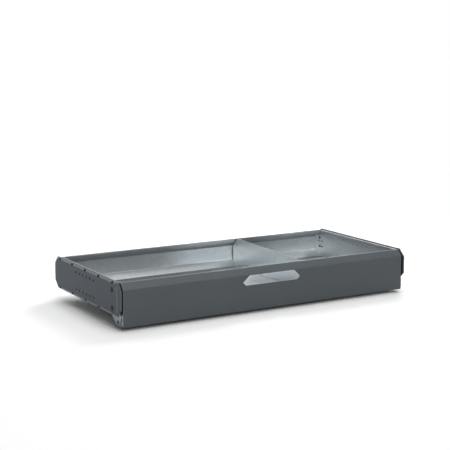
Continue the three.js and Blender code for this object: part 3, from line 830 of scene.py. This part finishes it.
def make_end_wall():
    """The right end wall: a flat sheet with a narrow flange along its top, and its holes."""
    rear, bottom = BACK_Y - SEAT, FLOOR_TOP + SEAT
    low_run = LOWER_SLOPE - SEAT * (2 - ROOT_TWO)
    lean_sum = BACK_Y + BACK_TOP - UPPER_SLOPE - SEAT * ROOT_TWO
    front, top = WALL_LOW.y, WALL_HIGH.z
    step, shoulder = front + WALL_FRONT_STEP, top - WALL_TOP_STEP
    wall = across("end_wall_sheet_right", [
        (front, bottom), (rear - low_run, bottom), (rear, bottom + low_run), (rear, lean_sum - rear),
        (lean_sum - top, top), (step, top), (step, shoulder), (front, shoulder - WALL_FRONT_STEP),
    ][::-1], WALL_LOW.x)
    pick("EDGE", at(z=top))
    extrude((WALL_HIGH.x - WALL_LOW.x, 0, 0))
    flange_rear = BACK_Y - UPPER_SLOPE - WALL_FLANGE_REAR_GAP
    pick("VERT", lambda c: at(x=WALL_HIGH.x)(c) and c[0].y > 0)
    shift((0, flange_rear - (lean_sum - top), 0))
    round_edges(at(x=WALL_LOW.x, z=top), TRAY_SHEET + NEAR)
    leave()
    thicken(wall, TRAY_SHEET)
    ends = through(WALL_LOW, WALL_HIGH)
    drills = rods(ROW_HOLE_RADIUS, ends, ROW_HOLES)
    drills += rods(BOLT_HOLE_RADIUS, ends, spots("bracket_bolt"))
    drills += rods(SCREW_HOLE_RADIUS, ends, spots("plate_screw"))
    half = Vector((0, KEYHOLE_LENGTH / 2, KEYHOLE_WIDTH / 2))
    for inset, drop in KEYHOLES:
        near, far = (Vector((x, PLATE_HIGH.y - inset, PLATE_HIGH.z - drop)) for x in ends)
        drills.append(block("slot", near - half, far + half))
        chamfer(along(0), KEYHOLE_WIDTH / 2 - NEAR, FOLD_STEPS)
        leave()
    drill(wall, drills)
    return wall


def make_side_plate(sizes):
    """The right side plate: an eight-sided moulded pan with sloping rims and a step at its nose."""
    low, high = PLATE_LOW.copy(), PLATE_HIGH
    low.x = RIM_X
    plate = block("side_moulding_right", low, high)
    chamfer(along(0), PLATE_CUT)
    pick("FACE", at(x=high.x))
    bpy.ops.mesh.inset(thickness=RIM_WIDTH, depth=0, use_even_offset=True)
    inner = RIM_WIDTH - NEAR
    pick("VERT", lambda c: at(x=high.x)(c) and not (
        low.y + inner < c[0].y < high.y - inner and low.z + inner < c[0].z < high.z - inner))
    shift((-RIM_DEPTH, 0, 0))
    crease = low.y + NOSE_LENGTH
    edge = crease - NOSE_EDGE
    for y in (crease, edge):
        pick("FACE", at(x=high.x))
        bpy.ops.mesh.bisect(plane_co=(0, y, 0), plane_no=(0, 1, 0))
    for test, step in (
        (lambda c: at(x=high.x)(c) and c[0].y < edge + NEAR, -NOSE_DROP),
        (lambda c: at(x=high.x - RIM_DEPTH)(c) and c[0].y < low.y + NEAR, RIM_DEPTH - NOSE_DROP),
        (at(x=low.x, y=low.y), NOSE_GAP),
    ):
        pick("VERT", test)
        shift((step, 0, 0))
    pick("FACE", at(x=low.x))
    bpy.ops.mesh.delete(type="FACE")
    leave()
    with_modifier(
        plate, "BEVEL", width=sizes.mould_round, segments=ROUND_STEPS, limit_method="ANGLE",
        angle_limit=MOULD_ANGLE, use_clamp_overlap=True,
    )
    edit()
    bpy.ops.mesh.remove_doubles(threshold=NEAR)
    leave()
    thicken(plate, PLATE_WALL)
    half_wall = PLATE_WALL / 2
    face_x, shoulder_x = high.x - half_wall, high.x - RIM_DEPTH - half_wall
    ledge = WALL_SHEET_X + SEAT
    bosses = rods(BOLT_BOSS_RADIUS, (BRACKET_HIGH.x + SEAT, face_x), spots("bracket_bolt"))
    bosses += rods(SCREW_BOSS_RADIUS, (ledge, face_x), spots("plate_screw"))
    share = 1 - 2 * RIM_WIDTH / (high.z - low.z - 2 * half_wall)
    for y in EDGE_HOLES[:-1]:
        y += EDGE_HOLE_PITCH / 2
        bosses.append(block(
            "rib", (low.x + half_wall, y - RIB_THICKNESS / 2, low.z + half_wall),
            (shoulder_x, y + RIB_THICKNESS / 2, high.z - half_wall),
        ))
        pick("FACE", at(x=shoulder_x))
        extrude((face_x - shoulder_x, 0, 0))
        stretch((1, 1, share), (face_x, y, (low.z + high.z) / 2))
        leave()
    reach = EDGE_HOLE_RADIUS * EDGE_HOLE_STRETCH + POCKET_WALL
    rows = (
        (high.z - EDGE_HOLE_INSET, high.z - half_wall), (low.z + EDGE_HOLE_INSET, low.z + half_wall),
    )
    for y in EDGE_HOLES:
        for z, end in rows:
            inner = 2 * z - end + math.copysign(POCKET_WALL, z - end)
            bosses.append(bar(
                "pocket", (low.x, y - reach, min(inner, end)),
                (low.x + POCKET_FLOOR, y + reach, max(inner, end)),
            ))
    combine(plate, [joined(bosses)], "UNION")
    ends = through(low, high)
    drills = rods(ROW_HOLE_RADIUS + ROW_HOLE_PLAY, ends, ROW_HOLES)
    for y in EDGE_HOLES:
        for z, _ in rows:
            drills.append(rod(EDGE_HOLE_RADIUS, low.x + POCKET_FLOOR - SEAT, ends[1], y, z))
            edit()
            stretch((1, EDGE_HOLE_STRETCH, 1), (high.x, y, z))
            leave()
    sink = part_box("bracket_bolt_right_upper")[1].x - BOLT_HEAD_HEIGHT - SEAT
    drills += [turned("drill", [
        (ends[0], BOLT_HOLE_RADIUS), (sink, BOLT_HOLE_RADIUS),
        (sink, BOLT_HEAD_RADIUS + BOLT_PLAY), (ends[1], BOLT_HEAD_RADIUS + BOLT_PLAY),
    ], (0, y, z)) for y, z in spots("bracket_bolt")]
    drills += rods(SCREW_HOLE_RADIUS, (WALL_LOW.x, ledge + SCREW_REACH), spots("plate_screw"))
    drill(plate, drills)
    combine(plate, [bar(
        "slot", (ends[0], BRACKET_LOW.y - SLOT_MARGIN, low.z - OVERRUN),
        (BRACKET_HIGH.x + SLOT_MARGIN, BRACKET_HIGH.y + SLOT_MARGIN, low.z + SLOT_RISE),
    )])
    return plate


def hand_hold_cutter():
    """A six-sided bar along Y with rounded corners, which cuts the hand-hold."""
    top = FLAP_HIGH.z - HOLD_DROP
    bottom = top - HOLD_HEIGHT
    cutter = block(
        "hand_hold", (-HOLD_TIP_HALF, FLAP_LOW.y - OVERRUN, bottom),
        (HOLD_TIP_HALF, FLAP_LOW.y + FLAP_SHEET + OVERRUN, top),
    )
    bpy.ops.mesh.bisect(plane_co=(0, 0, top - HOLD_TIP_DROP), plane_no=(0, 0, 1))
    for z, half in ((top, HOLD_TOP_HALF), (bottom, HOLD_BOTTOM_HALF)):
        pick("VERT", at(z=z))
        stretch((half / HOLD_TIP_HALF, 1, 1), (0, FLAP_LOW.y, z))
    chamfer(along(1), HOLD_ROUND / 2, HOLD_STEPS)
    leave()
    return cutter


def flap_end_cutter():
    """A bar along X that trims the back of the flap's folded ends, but for the hem between them."""
    inner = FLAP_LOW.y + FLAP_END_RETURN
    rear, top = FLAP_HIGH.y + OVERRUN, FLAP_HIGH.z + OVERRUN
    cutter = slab("end_trim", [
        (rear, HINGE_Z), (FLAP_HIGH.y, HINGE_Z), (HINGE_Y + EYE_RADIUS / 2, HINGE_Z + EYE_RADIUS),
        (inner, ARM_HIGH.z), (inner, FLAP_HIGH.z - FLAP_SLOPE - FLAP_END_RETURN / 2),
        (LIP_BACK, FLAP_HIGH.z - FLAP_HEM_DROP), (LIP_BACK, top), (rear, top),
    ], *through(FLAP_LOW, FLAP_HIGH))
    leave()
    return cutter


class MakeTray(bpy.types.Operator):
    """The tray: floor, front lip, a back wall that slopes out and leans in, and a hemmed top."""

    bl_idname = "shelf.make_tray"
    bl_label = "Tray"

    def execute(self, context):
        top_y = BACK_Y - UPPER_SLOPE
        hem_out, hem_down = HEM_ROUND * ROOT_TWO, HEM_WIDTH / ROOT_TWO
        path = [
            (TRAY_LOW.y, TRAY_LOW.z),
            (TRAY_LOW.y, FLOOR_TOP),
            (BACK_Y - LOWER_SLOPE, FLOOR_TOP),
            (BACK_Y, FLOOR_TOP + LOWER_SLOPE),
            (BACK_Y, BACK_TOP - UPPER_SLOPE),
            (top_y, BACK_TOP),
            (top_y + hem_out, BACK_TOP + hem_out),
            (top_y + hem_out + hem_down, BACK_TOP + hem_out - hem_down),
        ]
        tray = folded("tray_sheet", path, TRAY_LOW.x, TRAY_HIGH.x)
        for y, z in path[5:7]:
            round_edges(at(y=y, z=z), HEM_ROUND - NEAR)
        for y, z in path[1:5]:
            round_edges(at(y=y, z=z), context.scene.shelf_sizes.fold_radius, FOLD_STEPS)
        leave()
        thicken(tray, TRAY_SHEET)
        combine(tray, [foot_screw_drill()])
        finish(tray, "tray", galvanised_sheet)
        return {"FINISHED"}


class MakeEndWalls(bpy.types.Operator):
    """The galvanised end walls."""

    bl_idname = "shelf.make_end_walls"
    bl_label = "End walls"

    def execute(self, context):
        pair(make_end_wall(), "end_wall", galvanised_sheet)
        return {"FINISHED"}


class MakeSidePlates(bpy.types.Operator):
    """The side plates."""

    bl_idname = "shelf.make_side_plates"
    bl_label = "Side plates"

    def execute(self, context):
        pair(make_side_plate(context.scene.shelf_sizes), "side_plate", moulded_polymer)
        return {"FINISHED"}


class MakeFlap(bpy.types.Operator):
    """The flap: a folded panel with a sloping top edge, closed ends, a hem and a hand-hold."""

    bl_idname = "shelf.make_flap"
    bl_label = "Flap"

    def execute(self, context):
        low, high = FLAP_LOW, FLAP_HIGH
        flap = block("flap_panel", low, high)
        chamfer(at(y=low.y, z=high.z), FLAP_SLOPE)
        pick("FACE", at(y=high.y))
        bpy.ops.mesh.delete(type="FACE")
        pick("VERT", at(y=high.y, z=high.z))
        shift((0, LIP_BACK - high.y, 0))
        # How much of the Bevel modifier's width each fold gets
        slope_share = context.scene.shelf_sizes.fold_radius / FLAP_FOOT_ROUND * math.tan(math.pi / 8)
        for test, share in (
            (lambda c: at(x=low.x)(c) or at(x=high.x)(c), FLAP_END_ROUND / FLAP_FOOT_ROUND),
            (at(y=low.y, z=low.z), 1),
            (at(y=low.y, z=high.z - FLAP_SLOPE), slope_share),
            (at(y=low.y + FLAP_SLOPE, z=high.z), slope_share),
        ):
            pick("EDGE", test)
            bpy.ops.transform.edge_bevelweight(value=share)
        leave()
        with_modifier(flap, "BEVEL", width=FLAP_FOOT_ROUND, segments=FOLD_STEPS, limit_method="WEIGHT")
        thicken(flap, FLAP_SHEET)
        combine(flap, [flap_end_cutter()])
        combine(flap, [bar(
            "hem", (low.x + FLAP_SHEET / 2, LIP_BACK - FLAP_SHEET, high.z - FLAP_HEM_DROP),
            (high.x - FLAP_SHEET / 2, LIP_BACK, high.z - FLAP_SHEET / 2),
        )], "UNION")
        ends = through(low, high)
        drills = rods(PIVOT_HOLE_RADIUS, ends, [HINGE])
        drills += rods(DIMPLE_RADIUS, ends, [(low.y + STUD_BACK, high.z - STUD_DROP)])
        drills += rods(RIVET_HOLE_RADIUS, ends, spots("arm_rivet"))
        drill(flap, drills)
        combine(flap, [hand_hold_cutter()])
        finish(flap, "flap", powder_coat)
        return {"FINISHED"}


class MakeDivider(bpy.types.Operator):
    """The divider: a sheet cut to the tray's section, its foot and its rear edge folded to the right."""

    bl_idname = "shelf.make_divider"
    bl_label = "Divider"

    def execute(self, context):
        low, high = DIVIDER_LOW, DIVIDER_HIGH
        rear = high.y - DIVIDER_REAR_GAP
        low_run = rear - (BACK_Y - LOWER_SLOPE) + SEAT * (ROOT_TWO - 1)
        lean_sum = BACK_Y + BACK_TOP - UPPER_SLOPE - (SEAT + DIVIDER_REAR_GAP) * ROOT_TWO
        divider = across("divider_sheet", [
            (low.y, low.z), (rear - low_run, low.z), (rear, low.z + low_run), (rear, lean_sum - rear),
            (lean_sum - high.z, high.z), (low.y, PLATE_HIGH.z - DIVIDER_FRONT_DROP),
        ][::-1], low.x)
        pick("EDGE", at(z=low.z))
        extrude((high.x - low.x, 0, 0))
        pick("VERT", lambda c: at(x=high.x, z=low.z)(c) and c[0].y > 0)
        shift((0, FOOT_REAR_Y - (rear - low_run), 0))
        pick("EDGE", at(x=low.x, y=rear))
        extrude((high.x - low.x, 0, 0))
        for fold in (at(x=low.x, y=rear), at(x=low.x, z=low.z)):
            round_edges(fold, DIVIDER_SHEET + NEAR)
        leave()
        thicken(divider, DIVIDER_SHEET)
        combine(divider, [foot_screw_drill()])
        finish(divider, "divider", galvanised_sheet, width=0.2 * MM)
        return {"FINISHED"}


class MakeBrackets(bpy.types.Operator):
    """The hinge brackets: thick plates that hang out of the side plates."""

    bl_idname = "shelf.make_brackets"
    bl_label = "Hinge brackets"

    def execute(self, context):
        low, high = BRACKET_LOW, BRACKET_HIGH
        nose, neck = low.y + BRACKET_NOSE_RUN, FLAP_LOW.y + BRACKET_SHOULDER
        bracket = slab("hinge_bracket_plate_right", [
            (low.y, low.z + BRACKET_NOSE_RISE), (nose, low.z), (nose + BRACKET_BOTTOM_RUN, low.z),
            (high.y, low.z + BRACKET_TAIL_RISE), (high.y, high.z), (neck, high.z),
            (neck, high.z - BRACKET_NECK_DROP), (low.y, PLATE_LOW.z + SEAT),
        ], low.x, high.x)
        chamfer(along(0), BRACKET_CORNER, ROUND_STEPS)
        leave()
        ends = through(low, high)
        drill(bracket, rods(PIN_HOLE_RADIUS, ends, [HINGE])
              + rods(BOLT_HOLE_RADIUS, ends, spots("bracket_bolt")))
        pair(bracket, "hinge_bracket", chromated_steel, width=0.35 * MM)
        return {"FINISHED"}


class MakeArms(bpy.types.Operator):
    """The hinge arms: flat links riveted to the flap's ends, with an eye for the pin."""

    bl_idname = "shelf.make_arms"
    bl_label = "Hinge arms"

    def execute(self, context):
        low, high = ARM_LOW, ARM_HIGH
        lift = FLAP_LOW.z + ARM_LIFT
        arm = block("hinge_link_right", (low.x, low.y, lift), (high.x, low.y + ARM_WIDTH, high.z))
        chamfer(along(0), ARM_CORNER, ROUND_STEPS)
        leave()
        eye = rod(EYE_RADIUS, low.x, high.x, *HINGE, FINE_STEPS)
        foot = bar("foot", (low.x, low.y + ARM_CORNER, lift), (high.x, *HINGE))
        combine(arm, [eye, foot], "UNION")
        ends = through(low, high)
        drill(arm, rods(PIVOT_HOLE_RADIUS, ends, [HINGE])
              + rods(RIVET_HOLE_RADIUS, ends, spots("arm_rivet")))
        pair(arm, "hinge_arm", chromated_steel, width=0.25 * MM)
        return {"FINISHED"}


class MakePivots(bpy.types.Operator):
    """The hinge pins, headed inside the flap and riveted over outside, and their nylon washers."""

    bl_idname = "shelf.make_pivots"
    bl_label = "Hinge pins and washers"

    def execute(self, context):
        profile = headed(*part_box("pivot_pin_right"), PIN_RADIUS, PIN_HEAD_RADIUS, PIN_HEAD_HEIGHT)
        pin = turned("hinge_pin_right", profile, (0, *HINGE))
        washer = ring("hinge_washer_right", "pivot_washer_right", WASHER_RADIUS, PIN_HOLE_RADIUS)
        pair(pin, "pivot_pin", black_oxide_steel, width=0.15 * MM)
        pair(washer, "pivot_washer", nylon, width=0.15 * MM)
        return {"FINISHED"}


class MakeBolts(bpy.types.Operator):
    """The bracket bolts with their socket heads, and the sleeves and nuts behind them."""

    bl_idname = "shelf.make_bolts"
    bl_label = "Bolts, sleeves and nuts"

    def execute(self, context):
        low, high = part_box("bracket_bolt_right_upper")
        place = middle("bracket_bolt_right_upper")
        head = high.x - BOLT_HEAD_HEIGHT
        bolt = turned("socket_bolt_right_upper", [
            (low.x, BOLT_RADIUS - SEAT), (low.x + BOLT_POINT, BOLT_RADIUS), (head, BOLT_RADIUS),
            (head, BOLT_HEAD_RADIUS), (high.x - BOLT_HEAD_BREAK, BOLT_HEAD_RADIUS),
            (high.x, BOLT_HEAD_RADIUS - BOLT_HEAD_BREAK),
        ], place)
        recess(bolt, SOCKET_RADIUS, high.x - SOCKET_DEPTH, high.x + OVERRUN, place)
        spread(bolt, "bracket_bolt", black_oxide_steel, width=0.12 * MM)
        sleeve = ring("spacer_right_upper", "bolt_sleeve_right_upper", SLEEVE_RADIUS, BOLT_HOLE_RADIUS)
        spread(sleeve, "bolt_sleeve", zinc_plated_steel, width=0.2 * MM)
        low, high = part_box("bolt_nut_right_upper")
        nut = turned("hex_nut_right_upper", [(low.x, NUT_RADIUS), (high.x, NUT_RADIUS)], place, steps=HEX)
        cone = turned("cone", [
            (low.x - SEAT, NUT_RADIUS * NUT_CONE_SHARE), (low.x + NUT_BREAK, NUT_RADIUS + SEAT),
            (high.x - NUT_BREAK, NUT_RADIUS + SEAT), (high.x + SEAT, NUT_RADIUS * NUT_CONE_SHARE),
        ], place, steps=FINE_STEPS)
        combine(nut, [cone], "INTERSECT")
        combine(nut, rods(BOLT_RADIUS + SEAT / 2, through(low, high), [place[1:]]))
        spread(nut, "bolt_nut", zinc_plated_steel, width=0.1 * MM)
        return {"FINISHED"}


class MakePlateScrews(bpy.types.Operator):
    """The pan-head screws that hold the rear of the side plates, seen inside the tray."""

    bl_idname = "shelf.make_plate_screws"
    bl_label = "Side plate screws"

    def execute(self, context):
        low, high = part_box("plate_screw_right_upper")
        place = middle("plate_screw_right_upper")
        under = low.x + SCREW_HEAD_HEIGHT
        screw = turned("pan_screw_right_upper", [
            *domed(under, SCREW_HEAD_RADIUS, SCREW_HEAD_HEIGHT, -1)[::-1],
            (under, SCREW_RADIUS), (high.x - SCREW_POINT, SCREW_RADIUS), (high.x, SCREW_RADIUS / 2),
        ], place)
        recess(screw, SCREW_RECESS_RADIUS, low.x - OVERRUN, low.x + SCREW_RECESS_DEPTH, place)
        spread(screw, "plate_screw", black_oxide_steel, width=0.1 * MM)
        return {"FINISHED"}


class MakeArmRivets(bpy.types.Operator):
    """The rivets that hold the hinge arms to the flap."""

    bl_idname = "shelf.make_arm_rivets"
    bl_label = "Arm rivets"

    def execute(self, context):
        node = "arm_rivet_right_upper"
        profile = headed(*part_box(node), RIVET_RADIUS, RIVET_HEAD_RADIUS, RIVET_HEAD_HEIGHT)
        rivet = turned("arm_fixing_right_upper", profile, middle(node))
        spread(rivet, "arm_rivet", chromated_steel, width=0)
        return {"FINISHED"}


class MakeClosingFittings(bpy.types.Operator):
    """The snap studs and rubber buffers at the front edges of the end walls."""

    bl_idname = "shelf.make_closing_fittings"
    bl_label = "Snap studs and buffers"

    def execute(self, context):
        low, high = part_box("snap_stud_right")
        base = low.x + STUD_BASE
        profile = [(low.x, STUD_RADIUS)] + domed(base, STUD_RADIUS, high.x - base)
        stud = turned("snap_dome_right", profile, middle("snap_stud_right"))
        low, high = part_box("flap_buffer_right")
        buffer = block("buffer_clip_right", low, high)
        chamfer(at(y=low.y), BUFFER_ROUND, ROUND_STEPS)
        leave()
        combine(buffer, [bar(
            "groove", (WALL_LOW.x - SEAT, WALL_LOW.y - SEAT, low.z - OVERRUN),
            (WALL_SHEET_X + SEAT, high.y + OVERRUN, high.z + OVERRUN),
        )])
        pair(stud, "snap_stud", zinc_plated_steel, width=0.25 * MM)
        pair(buffer, "flap_buffer", rubber, width=0.25 * MM)
        return {"FINISHED"}


class MakeDividerScrews(bpy.types.Operator):
    """The three screws through the divider's foot."""

    bl_idname = "shelf.make_divider_screws"
    bl_label = "Divider screws"

    def execute(self, context):
        low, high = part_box("divider_screw_1")
        place = middle("divider_screw_1")
        under = high.z - DIVIDER_SCREW_HEAD
        first = turned("foot_screw_1", [
            (low.z, DIVIDER_SCREW_RADIUS / 2), (low.z + SCREW_POINT, DIVIDER_SCREW_RADIUS),
            (under, DIVIDER_SCREW_RADIUS),
            *domed(under, DIVIDER_SCREW_HEAD_RADIUS, DIVIDER_SCREW_HEAD),
        ], place, "Z")
        socket = turned("socket", [
            (high.z - SCREW_RECESS_DEPTH, SCREW_RECESS_RADIUS), (high.z + OVERRUN, SCREW_RECESS_RADIUS),
        ], place, "Z", HEX)
        combine(first, [socket])
        screws = [first] + [
            copied(first, f"foot_screw_{index}", step=middle(f"divider_screw_{index}") - place)
            for index in (2, 3)
        ]
        for index, screw in enumerate(screws, 1):
            finish(screw, f"divider_screw_{index}", zinc_plated_steel, width=0.1 * MM)
        return {"FINISHED"}


def seen_plainly(tree):
    """1 for rays from the camera, or by way of metal or glass, and 0 for the rest."""
    path = add(tree, "LightPath")
    either = add(tree, "Math", {
        0: path.outputs["Is Camera Ray"], 1: path.outputs["Is Glossy Ray"],
    }, operation="MAXIMUM")
    return add(tree, "Math", {
        0: either.outputs["Value"], 1: path.outputs["Is Transmission Ray"],
    }, operation="MAXIMUM").outputs["Value"]


class MakeStage(bpy.types.Operator):
    """The floor, the light and the camera."""

    bl_idname = "shelf.make_stage"
    bl_label = "Studio"

    def execute(self, context):
        finishes = context.scene.shelf_finishes
        bpy.ops.object.select_all(action="DESELECT")
        bpy.ops.mesh.primitive_plane_add(size=FLOOR_SIDE, location=(0, 0, -FLOOR_GAP))
        floor = start("floor")
        leave()
        # Matt paper, drawn pure white where the camera looks at it
        material, tree = empty_material("white_paper")
        plain = seen_plainly(tree)
        paper = add(tree, "Mix", {
            "Factor": plain, 6: chosen("floor_white"), 7: WHITE,
        }, data_type="RGBA")
        shader = add(tree, "BsdfPrincipled", {
            "Base Color": paper.outputs[2],
            "Roughness": 1.0,
            "Specular IOR Level": 0.0,
        })
        # Far from the shelf, where the lamps no longer reach, it goes over into the white background
        away = add(tree, "VectorMath", {
            0: add(tree, "TexCoord").outputs["Object"],
        }, operation="LENGTH").outputs["Value"]
        far = add(tree, "MapRange", {
            "Value": away, "From Min": PAPER_NEAR, "From Max": PAPER_FAR,
        }, interpolation_type="SMOOTHSTEP").outputs["Result"]
        share = add(tree, "Math", {0: far, 1: plain}, operation="MULTIPLY").outputs["Value"]
        white = add(tree, "Emission", {"Color": WHITE, "Strength": 1.0})
        surface = add(tree, "MixShader", {
            0: share, 1: shader.outputs["BSDF"], 2: white.outputs["Emission"],
        })
        add(tree, "OutputMaterial", {"Surface": surface.outputs["Shader"]})
        floor.data.materials.append(material)
        world = bpy.data.worlds.new("white_studio")
        world.use_nodes = True
        world.node_tree.nodes.clear()
        tree = world.node_tree
        dim = add(tree, "Background", {"Color": WHITE, "Strength": finishes.sky})
        white = add(tree, "Background", {"Color": WHITE, "Strength": 1.0})
        surface = add(tree, "MixShader", {
            0: seen_plainly(tree), 1: dim.outputs["Background"], 2: white.outputs["Background"],
        })
        add(tree, "OutputWorld", {"Surface": surface.outputs["Shader"]})
        context.scene.world = world
        context.scene.view_settings.view_transform = "Standard"
        for row in LAMPS + BOARDS:
            lamp = self.hang_lamp(finishes.lamps, *row)
            lamp.visible_diffuse = row in LAMPS
        self.set_camera(context)
        return {"FINISHED"}

    def hang_lamp(self, level, name, turn, rise, width, height, watts):
        """A wide lamp that looks at the shelf from a direction."""
        turn, rise = math.radians(turn), math.radians(rise)
        ahead = Vector((math.sin(turn) * math.cos(rise), -math.cos(turn) * math.cos(rise), math.sin(rise)))
        bpy.ops.object.light_add(type="AREA", location=ahead * LAMP_DISTANCE)
        lamp = bpy.context.object
        lamp.name = name
        lamp.data.energy = watts * level
        lamp.data.shape = "RECTANGLE"
        lamp.data.size, lamp.data.size_y = width, height
        lamp.rotation_euler = ahead.to_track_quat("Z", "Y").to_euler()
        return lamp

    def set_camera(self, context):
        """A camera where the photograph was taken from."""
        bpy.ops.object.camera_add(
            location=CAMERA_PLACE,
            rotation=(math.radians(90 - CAMERA_TILT), 0, -math.radians(CAMERA_TURN)),
        )
        camera = context.object
        camera.name = "photo_camera"
        camera.data.sensor_width = SENSOR_WIDTH
        camera.data.lens = FOCAL_PIXELS / IMAGE_SIDE * SENSOR_WIDTH
        context.scene.camera = camera


PIECES = (
    MakeTray, MakeEndWalls, MakeSidePlates, MakeFlap, MakeDivider, MakeBrackets, MakeArms, MakePivots,
    MakeBolts, MakePlateScrews, MakeArmRivets, MakeClosingFittings, MakeDividerScrews, MakeStage,
)


class ShelfPanel(bpy.types.Panel):
    """Sizes, colours and pieces of the shelf."""

    bl_idname = "VIEW3D_PT_shelf"
    bl_label = "Drop-front shelf"
    bl_space_type = "VIEW_3D"
    bl_region_type = "UI"
    bl_category = "Shelf"

    def draw(self, context):
        for group in (context.scene.shelf_sizes, context.scene.shelf_finishes):
            for name in group.__annotations__:
                self.layout.prop(group, name)
        for piece in PIECES:
            self.layout.operator(piece.bl_idname)


CLASSES = (ShelfSizes, ShelfFinishes) + PIECES + (ShelfPanel,)


def register():
    for one in CLASSES:
        bpy.utils.register_class(one)
    bpy.types.Scene.shelf_sizes = bpy.props.PointerProperty(type=ShelfSizes)
    bpy.types.Scene.shelf_finishes = bpy.props.PointerProperty(type=ShelfFinishes)


def unregister():
    del bpy.types.Scene.shelf_finishes
    del bpy.types.Scene.shelf_sizes
    for one in reversed(CLASSES):
        bpy.utils.unregister_class(one)


def main():
    """Makes everything."""
    register()
    bpy.ops.object.select_all(action="DESELECT")
    for piece in PIECES:
        getattr(bpy.ops.shelf, piece.bl_idname.split(".")[1])()


if __name__ == "__main__":
    main()
